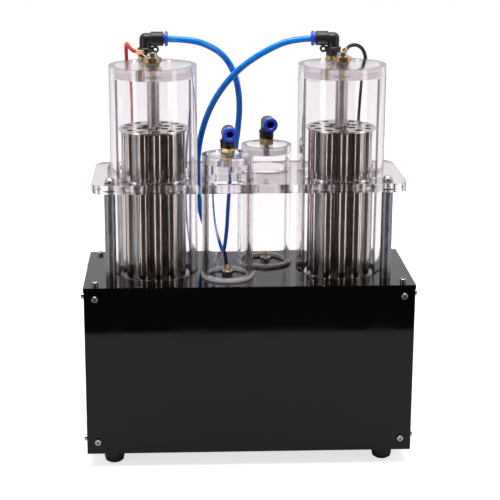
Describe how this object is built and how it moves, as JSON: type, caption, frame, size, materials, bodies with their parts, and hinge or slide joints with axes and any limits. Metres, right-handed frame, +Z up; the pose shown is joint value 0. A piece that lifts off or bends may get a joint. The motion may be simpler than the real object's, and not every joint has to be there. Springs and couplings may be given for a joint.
{
  "type": "hofmann voltameter",
  "caption": "Bench-top water electrolysis set: clear chambers with steel electrode bundles on a black case, each joined by a blue hose to a small bubbling column with a push-in gas outlet.",
  "frame": {"origin": "on the table, under the middle of the footprint, cords left out", "axes": "+Z up, front of the case towards -Y, the two chambers spread along X"},
  "size_m": [0.3052, 0.1484, 0.3948],
  "materials": {
    "black_acrylic": "glossy",
    "clear_acrylic": "clear, polished faces",
    "clear_edge_acrylic": "clear, sawn and polished edges",
    "frosted_plastic": "frosted",
    "black_flange_acrylic": "glossy",
    "black_rubber": "matte",
    "electrode_steel": "drawn tube",
    "disc_steel": "flat, lightly brushed",
    "bright_steel": "bright zinc plate",
    "post_steel": "satin, grey",
    "screw_steel": "bright heads",
    "block_aluminium": "sawn",
    "brass": "machined, bright",
    "black_moulding": "satin moulding",
    "blue_collar": "glossy moulding",
    "blue_hose": "smooth extrusion",
    "seal_plastic": "translucent",
    "red_insulation": "satin",
    "black_insulation": "satin",
    "lug_copper": "tinned ring, copper barrel",
    "supply_case": "sheet case, perforated look",
    "wire_insulation": "satin"
  },
  "bodies": {
    "case": {"top_plate": "black_acrylic", "front_panel": "black_acrylic", "back_panel": "black_acrylic", "left_panel": "black_acrylic", "right_panel": "black_acrylic", "base_panel": "black_acrylic", "corner_blocks": "block_aluminium", "panel_screws": "screw_steel", "rubber_feet": "black_rubber", "foot_and_post_screws": "screw_steel", "left_chamber_tube": "clear_acrylic", "right_chamber_tube": "clear_acrylic", "chamber_lids": "clear_edge_acrylic", "chamber_flanges": "black_flange_acrylic", "chamber_gaskets": "black_rubber", "left_electrode_tubes": "electrode_steel", "right_electrode_tubes": "electrode_steel", "perforated_discs": "disc_steel", "centre_pipes": "electrode_steel", "tie_bolts": "bright_steel", "terminal_studs": "brass", "terminal_nuts": "brass", "terminal_lugs": "lug_copper", "terminal_locknuts": "bright_steel", "seal_washers": "seal_plastic", "fitting_stems": "brass", "left_outlet_elbow": "black_moulding", "right_outlet_elbow": "black_moulding", "rear_elbows": "black_moulding", "front_bubbler_tube": "clear_acrylic", "rear_bubbler_tube": "clear_acrylic", "bubbler_lids": "clear_edge_acrylic", "bubbler_base_rings": "frosted_plastic", "bubbler_inlets": "brass", "bubbler_inlet_nuts": "bright_steel", "support_plate": "clear_edge_acrylic", "support_posts": "post_steel", "support_bolts": "bright_steel", "support_washers": "bright_steel", "left_gas_hose": "blue_hose", "right_gas_hose": "blue_hose", "red_lead": "red_insulation", "black_lead": "black_insulation", "lead_grommets": "black_rubber", "inner_hoses": "blue_hose", "link_pipe": "clear_acrylic", "power_supply": "supply_case", "power_inlet": "black_moulding", "inlet_pins": "bright_steel", "inner_leads": "black_insulation", "mains_wires": "wire_insulation"},
    "front_swivel": {"front_bubbler_elbow": "black_moulding"},
    "rear_swivel": {"rear_bubbler_elbow": "black_moulding"},
    "rocker": {"rocker_switch": "black_moulding"},
    "front_bubbler_collar": {"front_bubbler_collar": "blue_collar"},
    "rear_bubbler_collar": {"rear_bubbler_collar": "blue_collar"},
    "left_outlet_collar": {"left_outlet_collar": "blue_collar"},
    "right_outlet_collar": {"right_outlet_collar": "blue_collar"},
    "left_rear_collar": {"left_rear_collar": "blue_collar"},
    "right_rear_collar": {"right_rear_collar": "blue_collar"}
  },
  "joints": [
    {"name": "front_turn", "type": "hinge", "parent": "case", "child": "front_swivel", "pos_m": [-0.019, -0.03465, 0.2982], "axis": [0, 0, 1], "continuous": true},
    {"name": "rear_turn", "type": "hinge", "parent": "case", "child": "rear_swivel", "pos_m": [0.019, 0.00935, 0.2982], "axis": [0, 0, 1], "continuous": true},
    {"name": "rocker_tilt", "type": "hinge", "parent": "case", "child": "rocker", "pos_m": [0.095, 0.04845, 0.11175], "axis": [1, 0, 0], "range_deg": [0, 16]},
    {"name": "front_bubbler_press", "type": "slide", "parent": "front_swivel", "child": "front_bubbler_collar", "axis": [-0.0698, 0.9976, 0], "range_m": [0, 0.0009], "stiffness_N_per_m": 1500},
    {"name": "rear_bubbler_press", "type": "slide", "parent": "rear_swivel", "child": "rear_bubbler_collar", "axis": [-0.1219, 0.9925, 0], "range_m": [0, 0.0009], "stiffness_N_per_m": 1500},
    {"name": "left_outlet_press", "type": "slide", "parent": "case", "child": "left_outlet_collar", "axis": [-1, 0, 0], "range_m": [0, 0.0009], "stiffness_N_per_m": 1500},
    {"name": "right_outlet_press", "type": "slide", "parent": "case", "child": "right_outlet_collar", "axis": [1, 0, 0], "range_m": [0, 0.0009], "stiffness_N_per_m": 1500},
    {"name": "left_rear_press", "type": "slide", "parent": "case", "child": "left_rear_collar", "axis": [0, 0, -1], "range_m": [0, 0.0009], "stiffness_N_per_m": 1500},
    {"name": "right_rear_press", "type": "slide", "parent": "case", "child": "right_rear_collar", "axis": [0, 0, -1], "range_m": [0, 0.0009], "stiffness_N_per_m": 1500}
  ]
}
